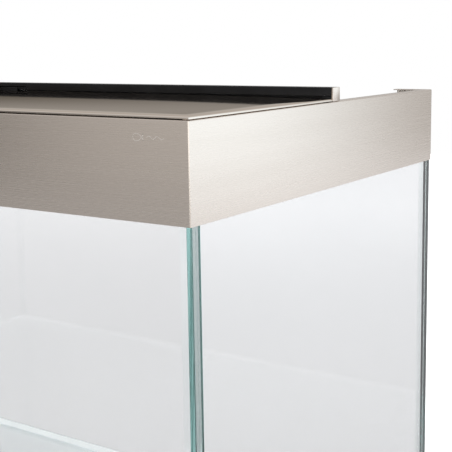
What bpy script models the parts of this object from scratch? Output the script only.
"""Glass aquarium with a brushed steel hood, on a two-door cabinet stand.

Metres, +Z up. X runs along the tank, the front faces -Y, and the origin is on the
floor under the middle of the object. Pieces that touch keep a hairline gap, CONTACT.
"""

from math import asin, cos, pi, sin, tau

import bmesh
import bpy
from mathutils import Matrix, Vector

for old_object in list(bpy.data.objects):
    bpy.data.objects.remove(old_object, do_unlink=True)

# ---------------------------------------------------------------- overall sizes
LENGTH = 1.200  # hood and stand top, along X
DEPTH = 0.500  # hood and stand top, along Y
STAND_HEIGHT = 0.700  # floor to the top of the stand
CONTACT = 0.0003  # hairline between pieces that touch
ROUND_SIDES = 20  # sides of every round piece

# ---------------------------------------------------------------- glass tank
GLASS = 0.010  # wall panes
FLOOR_GLASS = 0.012
TANK_HEIGHT = 0.550  # glass box, floor pane included
PANE_JOINT = 0.0008  # silicone line between panes
BEAD = 0.006  # leg of the inner silicone fillets
BEAD_SKIN = 0.0003  # from the corner beads' backs to the ring's
BRACE_GLASS = 0.008
BRACE_WIDTH = 0.050
BRACE_DROP = 0.020  # rim of the glass down to the braces
MAT = 0.005  # foam under the tank
GLASS_ARRIS = 0.0007  # ground edge of every pane

# ---------------------------------------------------------------- hood
SHEET = 0.001
HOOD_HEIGHT = 0.085
HOOD_ABOVE_GLASS = 0.036
HOOD_FLANGE = 0.012  # folded inwards round the top
REAR_RETURN = 0.0446  # stub of hood at each rear corner
FRONT_SETBACK = 0.003  # hood face to front pane
LEDGE_SHEET = 0.0015
LEDGE_HEIGHT = 0.020
LEDGE_OVER = 0.002  # ledge past the pane that it rests on

# ---------------------------------------------------------------- lid and crossbar
LID_SHEET = 0.0015
LID_SEAM = 0.0012  # air between hood flange and lid
LID_REAR_GAP = 0.0005  # lid to crossbar
CROSSBAR_FRONT = 0.243  # hood face to crossbar
CROSSBAR_DEPTH = 0.0144
CROSSBAR_HEIGHT = 0.0085
CROSSBAR_LIFT = 0.0055  # hood top to the crossbar's underside
END_PLATE = 0.002
FOOT_LENGTH = 0.010  # block that carries each end of the crossbar
LIGHT_WIDTH = 0.008
LIGHT_HEIGHT = 0.0035
LIGHT_BEVEL = 0.0008
LIGHT_END_CLEARANCE = 0.030
GLAND_RADIUS = 0.0032
GLAND_BORE = 0.0018
GLAND_LENGTH = 0.006
GLAND_INSET = 0.040  # crossbar end to the gland
BUMPER_RADIUS = 0.004
BUMPER_INSET = 0.030

# ---------------------------------------------------------------- lid hinges
LID_HINGE_X = 0.150
LID_HINGE_LENGTH = 0.060
LID_KNUCKLE_RADIUS = 0.0017
LID_PIN_RADIUS = 0.0008
LID_LEAF = 0.001
LID_AXIS_INSET = 0.0004  # knuckle to the crossbar's front face and underside
LID_LEAF_WIDTH = 0.022

# ---------------------------------------------------------------- cabinet
TOP_BOARD = 0.025
PANEL = 0.018
BACK_PANEL = 0.008
CARCASS_SETBACK = 0.010  # top board past the carcass, all round
PLINTH_HEIGHT = 0.060
PLINTH_BOARD = 0.016
PLINTH_SETBACK = 0.030  # carcass past the plinth
DOOR_GAP = 0.003
HINGE_SIDE_GAP = 0.0036  # room for the two leaves
SHELF_RISE = 0.300  # cabinet floor to the shelf
SHELF_SETBACK = 0.030  # doors to the shelf
CABLE_HOLE_RADIUS = 0.035
CABLE_HOLE_DROP = 0.090  # top board to the holes' centres
PANEL_BEVEL = 0.001

# ---------------------------------------------------------------- door hinges
DOOR_HINGE_LENGTH = 0.064
DOOR_HINGE_INSET = 0.080  # door end to the nearer end of its hinge
BARREL_RADIUS = 0.0045
DOOR_PIN_RADIUS = 0.0023
DOOR_LEAF = 0.0012
DOOR_LEAF_WIDTH = 0.016
DOOR_TAIL = 0.004  # of the leaf, that its knuckle's tail overlaps
DOOR_TAIL_INSET = 0.0001  # the tail is a little thinner than its leaf
MIDDLE_SHARE = 0.5  # of a hinge's length, taken by its moving knuckle

# ---------------------------------------------------------------- push latches
LATCH_WIDTH = 0.016
LATCH_HEIGHT = 0.022
LATCH_LENGTH = 0.058
LATCH_FROM_DIVIDER = 0.030  # divider to the latch's middle
PLUNGER_RADIUS = 0.004
PLUNGER_OUT = 0.008
PLUNGER_IN = 0.022
PLUNGER_TRAVEL = 0.003
STRIKE_SIDE = 0.016
STRIKE_SHEET = 0.0015

# ---------------------------------------------------------------- levels and planes
SIDE_X = LENGTH / 2
FRONT_Y = -DEPTH / 2
REAR_Y = DEPTH / 2

TOP_BOARD_Z = STAND_HEIGHT - TOP_BOARD
MAT_Z = STAND_HEIGHT + CONTACT
FLOOR_PANE_Z = MAT_Z + MAT + CONTACT
TANK_FLOOR_Z = FLOOR_PANE_Z + FLOOR_GLASS
WALL_Z = TANK_FLOOR_Z + PANE_JOINT
GLASS_TOP_Z = FLOOR_PANE_Z + TANK_HEIGHT
HOOD_TOP_Z = GLASS_TOP_Z + HOOD_ABOVE_GLASS
HOOD_BOTTOM_Z = HOOD_TOP_Z - HOOD_HEIGHT

GLASS_X = SIDE_X - SHEET - CONTACT
GLASS_FRONT_Y = FRONT_Y + FRONT_SETBACK
GLASS_REAR_Y = REAR_Y - SHEET - CONTACT
INNER_X = GLASS_X - GLASS
INNER_FRONT_Y = GLASS_FRONT_Y + GLASS
INNER_REAR_Y = GLASS_REAR_Y - GLASS
BRACE_TOP_Z = GLASS_TOP_Z - BRACE_DROP

BAR_FRONT_Y = FRONT_Y + CROSSBAR_FRONT
BAR_REAR_Y = BAR_FRONT_Y + CROSSBAR_DEPTH
BAR_BOTTOM_Z = HOOD_TOP_Z + CROSSBAR_LIFT
BAR_TOP_Z = BAR_BOTTOM_Z + CROSSBAR_HEIGHT
LID_BOTTOM_Z = HOOD_TOP_Z + LID_SEAM
LID_TOP_Z = LID_BOTTOM_Z + LID_SHEET

LID_AXIS_Y = BAR_FRONT_Y + LID_KNUCKLE_RADIUS + LID_AXIS_INSET
LID_AXIS_Z = BAR_BOTTOM_Z + LID_KNUCKLE_RADIUS + LID_AXIS_INSET
POCKET_REAR_Y = LID_AXIS_Y + LID_KNUCKLE_RADIUS + LID_LEAF + 2 * CONTACT
POCKET_TOP_Z = LID_AXIS_Z + LID_KNUCKLE_RADIUS + 2 * CONTACT

CARCASS_X = SIDE_X - CARCASS_SETBACK
CARCASS_FRONT_Y = FRONT_Y + CARCASS_SETBACK
CARCASS_REAR_Y = REAR_Y - CARCASS_SETBACK
BAY_X = CARCASS_X - PANEL
CARCASS_Z = PLINTH_HEIGHT + CONTACT
BAY_FLOOR_Z = CARCASS_Z + PANEL
BAY_TOP_Z = TOP_BOARD_Z - CONTACT
DOOR_BACK_Y = CARCASS_FRONT_Y + PANEL
STRIKE_BACK_Y = DOOR_BACK_Y + CONTACT + STRIKE_SHEET
BACK_PANEL_Y = CARCASS_REAR_Y - BACK_PANEL
DOOR_Z = (BAY_FLOOR_Z + DOOR_GAP, BAY_TOP_Z - DOOR_GAP)
DOOR_AXIS_X = BAY_X - HINGE_SIDE_GAP / 2
DOOR_AXIS_Y = CARCASS_FRONT_Y - BARREL_RADIUS - CONTACT

BORE_CLEARANCE = CONTACT  # pin to bore, on the radius


# ---------------------------------------------------------------- materials
def material(name, colour, roughness, metallic=0.0, transmission=0.0):
    made = bpy.data.materials.new(name)
    made.use_nodes = True
    shader = made.node_tree.nodes["Principled BSDF"]
    shader.inputs["Base Color"].default_value = (*colour, 1.0)
    shader.inputs["Roughness"].default_value = roughness
    shader.inputs["Metallic"].default_value = metallic
    shader.inputs["Transmission Weight"].default_value = transmission
    made.diffuse_color = (*colour, 1.0)
    return made


BRUSHED_STEEL = material("brushed_steel", (0.62, 0.58, 0.53), 0.28, metallic=1.0)
HINGE_STEEL = material("hinge_steel", (0.60, 0.60, 0.60), 0.30, metallic=1.0)
BLACK_ALUMINIUM = material("black_aluminium", (0.015, 0.015, 0.017), 0.42, metallic=0.6)
CLEAR_GLASS = material("clear_glass", (0.80, 0.92, 0.90), 0.02, transmission=1.0)
SILICONE = material("clear_silicone", (0.72, 0.76, 0.76), 0.35, transmission=0.5)
FOAM = material("foam", (0.80, 0.82, 0.84), 0.90)
CABINET_WOOD = material("cabinet_wood", (0.20, 0.12, 0.07), 0.40)
PLINTH_STEEL = material("plinth_steel", (0.55, 0.53, 0.50), 0.32, metallic=1.0)
OPAL_ACRYLIC = material("opal_acrylic", (0.90, 0.91, 0.90), 0.30)
BLACK_RUBBER = material("black_rubber", (0.02, 0.02, 0.02), 0.75)
GREY_PLASTIC = material("grey_plastic", (0.30, 0.31, 0.32), 0.50)


# ---------------------------------------------------------------- shapes
def box(low, high):
    """A box between two corners."""
    shape = bmesh.new()
    bmesh.ops.create_cube(shape, size=1.0)
    low, high = Vector(low), Vector(high)
    size = high - low
    bmesh.ops.transform(
        shape,
        matrix=Matrix.Translation((low + high) / 2) @ Matrix.Diagonal((*size, 1.0)),
        verts=shape.verts,
    )
    return shape


def prism(outline, span, along):
    """An outline pushed along X, Y or Z. Its points are the other two coordinates, in X, Y, Z order."""
    place = {
        "X": lambda a, b, run: (run, a, b),
        "Y": lambda a, b, run: (a, run, b),
        "Z": lambda a, b, run: (a, b, run),
    }[along]
    shape = bmesh.new()
    ends = [[shape.verts.new(place(a, b, run)) for a, b in outline] for run in span]
    shape.faces.new(ends[0])
    shape.faces.new(ends[1])
    for start in range(len(outline)):
        end = (start + 1) % len(outline)
        shape.faces.new((ends[0][start], ends[0][end], ends[1][end], ends[1][start]))
    bmesh.ops.recalc_face_normals(shape, faces=shape.faces)
    return shape


def circle(centre, radius):
    """Points round a circle in any plane."""
    turns = (tau * step / ROUND_SIDES for step in range(ROUND_SIDES))
    return [(centre[0] + radius * cos(turn), centre[1] + radius * sin(turn)) for turn in turns]


def rod(centre, radius, span, along):
    return prism(circle(centre, radius), span, along)


def mitred_sweep(path, section, closed):
    """A section of (inset, height) points carried round a right-angled plan path, inside on its left."""
    shape = bmesh.new()
    corners = [Vector(point) for point in path]
    legs = len(corners) if closed else len(corners) - 1
    inward = []
    for leg in range(legs):
        run = (corners[(leg + 1) % len(corners)] - corners[leg]).normalized()
        inward.append(Vector((-run.y, run.x)))
    rings = []
    for index, corner in enumerate(corners):
        sides = [inward[index - 1]] if closed or index > 0 else []
        sides += [inward[index]] if index < legs else []
        shift = sides[0] if len(sides) == 1 else sides[0] + sides[1]
        rings.append([shape.verts.new((*(corner + shift * inset), height)) for inset, height in section])
    for leg in range(legs):
        near, far = rings[leg], rings[(leg + 1) % len(rings)]
        for start in range(len(section)):
            end = (start + 1) % len(section)
            shape.faces.new((near[start], near[end], far[end], far[start]))
    if not closed:
        shape.faces.new(rings[0])
        shape.faces.new(rings[-1])
    bmesh.ops.recalc_face_normals(shape, faces=shape.faces)
    return shape


def tailed_round(radius, reach, low=None, high=None):
    """A round with a strip that runs out along +a to reach, between low and high across it."""
    low = -radius / 3 if low is None else low
    high = radius / 3 if high is None else high
    first, last = asin(high / radius), tau + asin(low / radius)
    turns = (first + (last - first) * step / ROUND_SIDES for step in range(ROUND_SIDES + 1))
    outline = [(radius * cos(turn), radius * sin(turn)) for turn in turns]
    return outline + [(reach, low), (reach, high)]


# ---------------------------------------------------------------- objects
def add(name, shape, finish, bevel=0.0, pivot=None):
    """Makes the named object. A moving piece gets the empty on its joint's axis as its parent."""
    mesh = bpy.data.meshes.new(name)
    if pivot is not None:
        bmesh.ops.translate(shape, vec=-pivot.location, verts=shape.verts)
    shape.to_mesh(mesh)
    shape.free()
    made = bpy.data.objects.new(name, mesh)
    bpy.context.scene.collection.objects.link(made)
    made.parent = pivot
    if finish is not None:
        mesh.materials.append(finish)
    if bevel:
        edges = made.modifiers.new("edges", "BEVEL")
        edges.width = bevel
        edges.segments = 1
        edges.limit_method = "ANGLE"
    return made


def add_round(name, shape, finish, pivot=None):
    made = add(name, shape, finish, pivot=pivot)
    made.data.shade_smooth()
    made.data.set_sharp_from_angle(angle=pi / 5)
    return made


def axis_empty(name, location):
    pivot = bpy.data.objects.new(name, None)
    pivot.location = location
    pivot.empty_display_size = 0.05
    bpy.context.scene.collection.objects.link(pivot)
    return pivot


def combine(target, shape, operation, label):
    """Adds or cuts a helper shape with a Boolean."""
    helper = add(f"{target.name}_{label}", shape, None, pivot=target.parent)
    helper.hide_render = True
    helper.display_type = "WIRE"
    step = target.modifiers.new(label, "BOOLEAN")
    step.operation = operation
    step.object = helper


def sides():
    """The two ends of the object: the word for each, and the sign of its X."""
    return (("left", -1), ("right", 1))


def mirrored(values, sign):
    """A span along X on the named side, in rising order."""
    return sorted(sign * value for value in values)


# ---------------------------------------------------------------- tank
def make_tank():
    add(
        "tank_safety_mat",
        box((-GLASS_X, GLASS_FRONT_Y, MAT_Z), (GLASS_X, GLASS_REAR_Y, MAT_Z + MAT)),
        FOAM,
    )
    add(
        "tank_floor_pane",
        box((-GLASS_X, GLASS_FRONT_Y, FLOOR_PANE_Z), (GLASS_X, GLASS_REAR_Y, TANK_FLOOR_Z)),
        CLEAR_GLASS,
        bevel=GLASS_ARRIS,
    )
    for name, near_y in (("front", GLASS_FRONT_Y), ("rear", INNER_REAR_Y)):
        add(
            f"tank_{name}_pane",
            box((-GLASS_X, near_y, WALL_Z), (GLASS_X, near_y + GLASS, GLASS_TOP_Z)),
            CLEAR_GLASS,
            bevel=GLASS_ARRIS,
        )
    for side, sign in sides():
        span = mirrored((INNER_X, GLASS_X), sign)
        add(
            f"tank_{side}_pane",
            box(
                (span[0], INNER_FRONT_Y + PANE_JOINT, WALL_Z),
                (span[1], INNER_REAR_Y - PANE_JOINT, GLASS_TOP_Z),
            ),
            CLEAR_GLASS,
            bevel=GLASS_ARRIS,
        )
    brace_x = INNER_X - PANE_JOINT
    for name, low_y in (
        ("front", INNER_FRONT_Y + PANE_JOINT),
        ("rear", INNER_REAR_Y - PANE_JOINT - BRACE_WIDTH),
    ):
        add(
            f"tank_{name}_brace",
            box(
                (-brace_x, low_y, BRACE_TOP_Z - BRACE_GLASS),
                (brace_x, low_y + BRACE_WIDTH, BRACE_TOP_Z),
            ),
            CLEAR_GLASS,
            bevel=GLASS_ARRIS,
        )


def make_seams():
    """Silicone fillets: a ring round the floor and one bead up each corner, as one skin."""
    edge_x = INNER_X - CONTACT
    low_y, high_y = INNER_FRONT_Y + CONTACT, INNER_REAR_Y - CONTACT
    base = TANK_FLOOR_Z + CONTACT
    path = ((-edge_x, low_y), (edge_x, low_y), (edge_x, high_y), (-edge_x, high_y))
    section = ((0.0, base), (BEAD, base), (0.0, base + BEAD))
    ring = add("tank_silicone_seams", mitred_sweep(path, section, closed=True), SILICONE)
    top = BRACE_TOP_Z - BRACE_GLASS - PANE_JOINT
    for corner, (x, y) in enumerate(path):
        into_x, into_y = (1 if x < 0 else -1), (1 if y < 0 else -1)
        x, y = x + into_x * BEAD_SKIN, y + into_y * BEAD_SKIN
        outline = ((x, y), (x + into_x * BEAD, y), (x, y + into_y * BEAD))
        combine(ring, prism(outline, (base + BEAD_SKIN, top), "Z"), "UNION", f"corner_bead_{corner}")


# ---------------------------------------------------------------- hood
def make_hood():
    stub_x = SIDE_X - REAR_RETURN
    path = (
        (-stub_x, REAR_Y),
        (-SIDE_X, REAR_Y),
        (-SIDE_X, FRONT_Y),
        (SIDE_X, FRONT_Y),
        (SIDE_X, REAR_Y),
        (stub_x, REAR_Y),
    )
    section = (
        (0.0, HOOD_BOTTOM_Z),
        (0.0, HOOD_TOP_Z),
        (HOOD_FLANGE, HOOD_TOP_Z),
        (HOOD_FLANGE, HOOD_TOP_Z - SHEET),
        (SHEET, HOOD_TOP_Z - SHEET),
        (SHEET, HOOD_BOTTOM_Z),
    )
    add("hood_band", mitred_sweep(path, section, closed=False), BRUSHED_STEEL)

    foot_z = GLASS_TOP_Z + CONTACT
    wall = SHEET + CONTACT
    reach = FRONT_SETBACK + GLASS + LEDGE_OVER
    outline = ledge_section(FRONT_Y, 1, wall, reach, foot_z)
    half_length = SIDE_X - SHEET - 2 * CONTACT
    add("hood_front_ledge", prism(outline, (-half_length, half_length), "X"), BRUSHED_STEEL)
    side_reach = wall + GLASS + LEDGE_OVER
    side_span = (FRONT_Y + reach + CONTACT, REAR_Y - reach)
    for side, sign in sides():
        outline = ledge_section(sign * SIDE_X, -sign, wall, side_reach, foot_z)
        add(f"hood_{side}_ledge", prism(outline, side_span, "Y"), BRUSHED_STEEL)


def ledge_section(face, way, wall, reach, foot_z):
    """An angle that stands against a hood wall and rests on the pane under it."""
    return [
        (face + way * across, foot_z + up)
        for across, up in (
            (wall, 0.0),
            (reach, 0.0),
            (reach, LEDGE_SHEET),
            (wall + LEDGE_SHEET, LEDGE_SHEET),
            (wall + LEDGE_SHEET, LEDGE_HEIGHT),
            (wall, LEDGE_HEIGHT),
        )
    ]


# ---------------------------------------------------------------- crossbar
def make_crossbar():
    end_x = SIDE_X - END_PLATE - CONTACT
    bar = add(
        "crossbar",
        box((-end_x, BAR_FRONT_Y, BAR_BOTTOM_Z), (end_x, BAR_REAR_Y, BAR_TOP_Z)),
        BLACK_ALUMINIUM,
    )
    for side, sign in sides():
        middle = sign * LID_HINGE_X
        half = LID_HINGE_LENGTH / 2 + 2 * CONTACT
        pocket = box(
            (middle - half, BAR_FRONT_Y - SHEET, BAR_BOTTOM_Z - SHEET),
            (middle + half, POCKET_REAR_Y, POCKET_TOP_Z),
        )
        combine(bar, pocket, "DIFFERENCE", f"{side}_hinge_pocket")

        plate = mirrored((SIDE_X - END_PLATE, SIDE_X), sign)
        add(
            f"crossbar_{side}_end_plate",
            box(
                (plate[0], BAR_FRONT_Y, HOOD_TOP_Z + CONTACT),
                (plate[1], BAR_REAR_Y, BAR_TOP_Z),
            ),
            BRUSHED_STEEL,
        )
        foot = mirrored((end_x - FOOT_LENGTH, end_x), sign)
        add(
            f"crossbar_{side}_foot",
            box(
                (foot[0], BAR_FRONT_Y, HOOD_TOP_Z + CONTACT),
                (foot[1], BAR_REAR_Y, BAR_BOTTOM_Z - CONTACT),
            ),
            BLACK_ALUMINIUM,
        )

    light_x = end_x - FOOT_LENGTH - LIGHT_END_CLEARANCE
    light_front = POCKET_REAR_Y + CONTACT
    add(
        "light_strip",
        box(
            (-light_x, light_front, BAR_BOTTOM_Z - CONTACT - LIGHT_HEIGHT),
            (light_x, light_front + LIGHT_WIDTH, BAR_BOTTOM_Z - CONTACT),
        ),
        OPAL_ACRYLIC,
        bevel=LIGHT_BEVEL,
    )
    gland_centre = (-end_x + GLAND_INSET, (BAR_BOTTOM_Z + BAR_TOP_Z) / 2)
    gland_start = BAR_REAR_Y + CONTACT
    gland = add_round(
        "light_cable_gland",
        rod(gland_centre, GLAND_RADIUS, (gland_start, gland_start + GLAND_LENGTH), "Y"),
        BLACK_RUBBER,
    )
    bore = rod(gland_centre, GLAND_BORE, (gland_start + SHEET, gland_start + 2 * GLAND_LENGTH), "Y")
    combine(gland, bore, "DIFFERENCE", "bore")


# ---------------------------------------------------------------- lid
def make_lid():
    pivot = axis_empty("front_lid_axis", (0.0, LID_AXIS_Y, LID_AXIS_Z))
    add(
        "front_lid",
        box(
            (-SIDE_X, FRONT_Y, LID_BOTTOM_Z),
            (SIDE_X, BAR_FRONT_Y - LID_REAR_GAP, LID_TOP_Z),
        ),
        BRUSHED_STEEL,
        pivot=pivot,
    )
    for side, sign in sides():
        make_lid_hinge(side, sign * LID_HINGE_X, pivot)
        centre = (sign * (SIDE_X - BUMPER_INSET), FRONT_Y + HOOD_FLANGE / 2)
        add_round(
            f"lid_{side}_bumper",
            rod(centre, BUMPER_RADIUS, (HOOD_TOP_Z + CONTACT, LID_BOTTOM_Z - CONTACT), "Z"),
            BLACK_RUBBER,
        )


def make_lid_hinge(side, middle, pivot):
    centre = (LID_AXIS_Y, LID_AXIS_Z)
    half = LID_HINGE_LENGTH / 2
    inner = LID_HINGE_LENGTH * MIDDLE_SHARE / 2
    bore = LID_PIN_RADIUS + BORE_CLEARANCE

    # Fixed leaf: it stands at the back of the crossbar's pocket.
    leaf_rear = POCKET_REAR_Y - CONTACT
    fixed = add(
        f"lid_hinge_{side}_fixed_leaf",
        box(
            (middle - half, leaf_rear - LID_LEAF, BAR_BOTTOM_Z + CONTACT),
            (middle + half, leaf_rear, POCKET_TOP_Z - CONTACT),
        ),
        BLACK_ALUMINIUM,
    )
    reach = leaf_rear - LID_LEAF / 2 - LID_AXIS_Y
    for end, span in enumerate(((-half, -inner - CONTACT), (inner + CONTACT, half))):
        run = [middle + value for value in span]
        outline = [(LID_AXIS_Y + a, LID_AXIS_Z + b) for a, b in tailed_round(LID_KNUCKLE_RADIUS, reach)]
        combine(fixed, prism(outline, run, "X"), "UNION", f"knuckle_{end}")
    combine(fixed, rod(centre, bore, (middle - LENGTH, middle + LENGTH), "X"), "DIFFERENCE", "bore")

    # Moving leaf: flat under the lid, and up behind its rear edge to the knuckle.
    leaf_top = LID_BOTTOM_Z - CONTACT
    riser = (BAR_FRONT_Y + CONTACT, BAR_FRONT_Y + CONTACT + LID_LEAF)
    knee = LID_AXIS_Z - LID_KNUCKLE_RADIUS / 2
    outline = (
        (BAR_FRONT_Y - LID_LEAF_WIDTH, leaf_top - LID_LEAF),
        (riser[1], leaf_top - LID_LEAF),
        (riser[1], knee),
        (riser[0], knee),
        (riser[0], leaf_top),
        (BAR_FRONT_Y - LID_LEAF_WIDTH, leaf_top),
    )
    moving = add(
        f"lid_hinge_{side}_moving_leaf",
        prism(outline, (middle - inner, middle + inner), "X"),
        BLACK_ALUMINIUM,
        pivot=pivot,
    )
    knuckle_end = inner - CONTACT / 2
    barrel = rod(centre, LID_KNUCKLE_RADIUS, (middle - knuckle_end, middle + knuckle_end), "X")
    combine(moving, barrel, "UNION", "knuckle")
    combine(moving, rod(centre, bore, (middle - LENGTH, middle + LENGTH), "X"), "DIFFERENCE", "bore")

    add_round(
        f"lid_hinge_{side}_pin",
        rod(centre, LID_PIN_RADIUS, (middle - half, middle + half), "X"),
        HINGE_STEEL,
    )


# ---------------------------------------------------------------- cabinet
def make_cabinet():
    add(
        "stand_top_board",
        box((-SIDE_X, FRONT_Y, TOP_BOARD_Z), (SIDE_X, REAR_Y, STAND_HEIGHT)),
        CABINET_WOOD,
        bevel=PANEL_BEVEL,
    )
    add(
        "stand_bottom_board",
        box(
            (-BAY_X + CONTACT, CARCASS_FRONT_Y, CARCASS_Z),
            (BAY_X - CONTACT, CARCASS_REAR_Y, BAY_FLOOR_Z),
        ),
        CABINET_WOOD,
        bevel=PANEL_BEVEL,
    )
    for side, sign in sides():
        span = mirrored((BAY_X, CARCASS_X), sign)
        add(
            f"stand_{side}_panel",
            box((span[0], CARCASS_FRONT_Y, CARCASS_Z), (span[1], CARCASS_REAR_Y, BAY_TOP_Z)),
            CABINET_WOOD,
            bevel=PANEL_BEVEL,
        )
    inside = (BAY_FLOOR_Z + CONTACT, BAY_TOP_Z)
    divider_front = STRIKE_BACK_Y + CONTACT
    divider = add(
        "stand_divider",
        box(
            (-PANEL / 2, divider_front, inside[0]),
            (PANEL / 2, BACK_PANEL_Y - CONTACT, inside[1]),
        ),
        CABINET_WOOD,
        bevel=PANEL_BEVEL,
    )
    hole_z = BAY_TOP_Z - CABLE_HOLE_DROP
    hole = rod((BACK_PANEL_Y / 2, hole_z), CABLE_HOLE_RADIUS, (-PANEL, PANEL), "X")
    combine(divider, hole, "DIFFERENCE", "cable_hole")
    back = add(
        "stand_back_panel",
        box(
            (-BAY_X + CONTACT, BACK_PANEL_Y, inside[0]),
            (BAY_X - CONTACT, CARCASS_REAR_Y, inside[1]),
        ),
        CABINET_WOOD,
        bevel=PANEL_BEVEL,
    )
    for side, sign in sides():
        centre = (sign * BAY_X / 2, hole_z)
        hole = rod(centre, CABLE_HOLE_RADIUS, (BACK_PANEL_Y - PANEL, CARCASS_REAR_Y + PANEL), "Y")
        combine(back, hole, "DIFFERENCE", f"{side}_cable_hole")
    shelf_z = BAY_FLOOR_Z + SHELF_RISE
    add(
        "stand_shelf",
        box(
            (PANEL / 2 + CONTACT, DOOR_BACK_Y + SHELF_SETBACK, shelf_z),
            (BAY_X - CONTACT, BACK_PANEL_Y - CONTACT, shelf_z + PANEL),
        ),
        CABINET_WOOD,
        bevel=PANEL_BEVEL,
    )


def make_plinth():
    plinth_x = CARCASS_X - PLINTH_SETBACK
    low_y, high_y = CARCASS_FRONT_Y + PLINTH_SETBACK, CARCASS_REAR_Y - PLINTH_SETBACK
    for name, near_y in (("front", low_y), ("rear", high_y - PLINTH_BOARD)):
        add(
            f"plinth_{name}_board",
            box((-plinth_x, near_y, 0.0), (plinth_x, near_y + PLINTH_BOARD, PLINTH_HEIGHT)),
            PLINTH_STEEL,
            bevel=PANEL_BEVEL,
        )
    for side, sign in sides():
        span = mirrored((plinth_x - PLINTH_BOARD, plinth_x), sign)
        add(
            f"plinth_{side}_board",
            box(
                (span[0], low_y + PLINTH_BOARD + CONTACT, 0.0),
                (span[1], high_y - PLINTH_BOARD - CONTACT, PLINTH_HEIGHT),
            ),
            PLINTH_STEEL,
            bevel=PANEL_BEVEL,
        )


# ---------------------------------------------------------------- doors
def make_door(side, sign):
    pivot = axis_empty(f"{side}_door_axis", (sign * DOOR_AXIS_X, DOOR_AXIS_Y, sum(DOOR_Z) / 2))
    span = mirrored((DOOR_GAP / 2, BAY_X - HINGE_SIDE_GAP), sign)
    add(
        f"{side}_door",
        box((span[0], CARCASS_FRONT_Y, DOOR_Z[0]), (span[1], DOOR_BACK_Y, DOOR_Z[1])),
        CABINET_WOOD,
        bevel=PANEL_BEVEL,
        pivot=pivot,
    )
    levels = (
        ("lower", DOOR_Z[0] + DOOR_HINGE_INSET),
        ("upper", DOOR_Z[1] - DOOR_HINGE_INSET - DOOR_HINGE_LENGTH),
    )
    for level, base in levels:
        make_door_hinge(f"{side}_door_{level}_hinge", sign, base, pivot)


def make_door_hinge(name, sign, base, pivot):
    """A butt hinge: one leaf on the side panel, one on the door's edge, and a loose pin."""
    centre = (sign * DOOR_AXIS_X, DOOR_AXIS_Y)
    top = base + DOOR_HINGE_LENGTH
    middle = DOOR_HINGE_LENGTH * MIDDLE_SHARE
    moving_span = (base + middle / 2 + CONTACT, top - middle / 2 - CONTACT)
    fixed_spans = ((base, base + middle / 2), (top - middle / 2, top))
    leaf_front = CARCASS_FRONT_Y + PANEL_BEVEL
    leaf_rear = leaf_front + DOOR_LEAF_WIDTH
    fixed_edge, moving_edge = BAY_X - CONTACT, BAY_X - HINGE_SIDE_GAP + CONTACT
    for part, edge, way, spans, parent in (
        ("frame_leaf", fixed_edge, -1, fixed_spans, None),
        ("door_leaf", moving_edge, 1, (moving_span,), pivot),
    ):
        across = mirrored((edge, edge + way * DOOR_LEAF), sign)
        leaf = add(
            f"{name}_{part}",
            box((across[0], leaf_front, base), (across[1], leaf_rear, top)),
            HINGE_STEEL,
            pivot=parent,
        )
        low = across[0] - centre[0] + DOOR_TAIL_INSET
        high = across[1] - centre[0] - DOOR_TAIL_INSET
        reach = leaf_front + DOOR_TAIL - DOOR_AXIS_Y
        outline = [
            (centre[0] - b, centre[1] + a)
            for a, b in tailed_round(BARREL_RADIUS, reach, low=-high, high=-low)
        ]
        for end, span in enumerate(spans):
            combine(leaf, prism(outline, span, "Z"), "UNION", f"knuckle_{end}")
        bore = rod(centre, DOOR_PIN_RADIUS + BORE_CLEARANCE, (0.0, STAND_HEIGHT), "Z")
        combine(leaf, bore, "DIFFERENCE", "bore")
    add_round(f"{name}_pin", rod(centre, DOOR_PIN_RADIUS, (base, top), "Z"), HINGE_STEEL)


# ---------------------------------------------------------------- push latches
def make_latch(side, sign, door_pivot):
    middle = sign * (PANEL / 2 + LATCH_FROM_DIVIDER)
    low_z, high_z = BAY_TOP_Z - CONTACT - LATCH_HEIGHT, BAY_TOP_Z - CONTACT
    centre = (middle, (low_z + high_z) / 2)
    tip_y = STRIKE_BACK_Y + CONTACT
    front_y = tip_y + PLUNGER_OUT
    body = add(
        f"{side}_latch_body",
        box(
            (middle - LATCH_WIDTH / 2, front_y, low_z),
            (middle + LATCH_WIDTH / 2, front_y + LATCH_LENGTH, high_z),
        ),
        GREY_PLASTIC,
        bevel=PANEL_BEVEL / 2,
    )
    bore_end = front_y + PLUNGER_IN + PLUNGER_TRAVEL + 2 * CONTACT
    bore = rod(centre, PLUNGER_RADIUS + BORE_CLEARANCE, (tip_y, bore_end), "Y")
    combine(body, bore, "DIFFERENCE", "bore")
    pivot = axis_empty(f"{side}_latch_axis", (centre[0], tip_y, centre[1]))
    add_round(
        f"{side}_latch_plunger",
        rod(centre, PLUNGER_RADIUS, (tip_y, front_y + PLUNGER_IN), "Y"),
        BLACK_RUBBER,
        pivot=pivot,
    )
    half = STRIKE_SIDE / 2
    add(
        f"{side}_door_strike",
        box(
            (middle - half, DOOR_BACK_Y + CONTACT, centre[1] - half),
            (middle + half, STRIKE_BACK_Y, centre[1] + half),
        ),
        HINGE_STEEL,
        pivot=door_pivot,
    )


make_tank()
make_seams()
make_hood()
make_crossbar()
make_lid()
make_cabinet()
make_plinth()
for side_name, side_sign in sides():
    make_door(side_name, side_sign)
    make_latch(side_name, side_sign, bpy.data.objects[f"{side_name}_door_axis"])
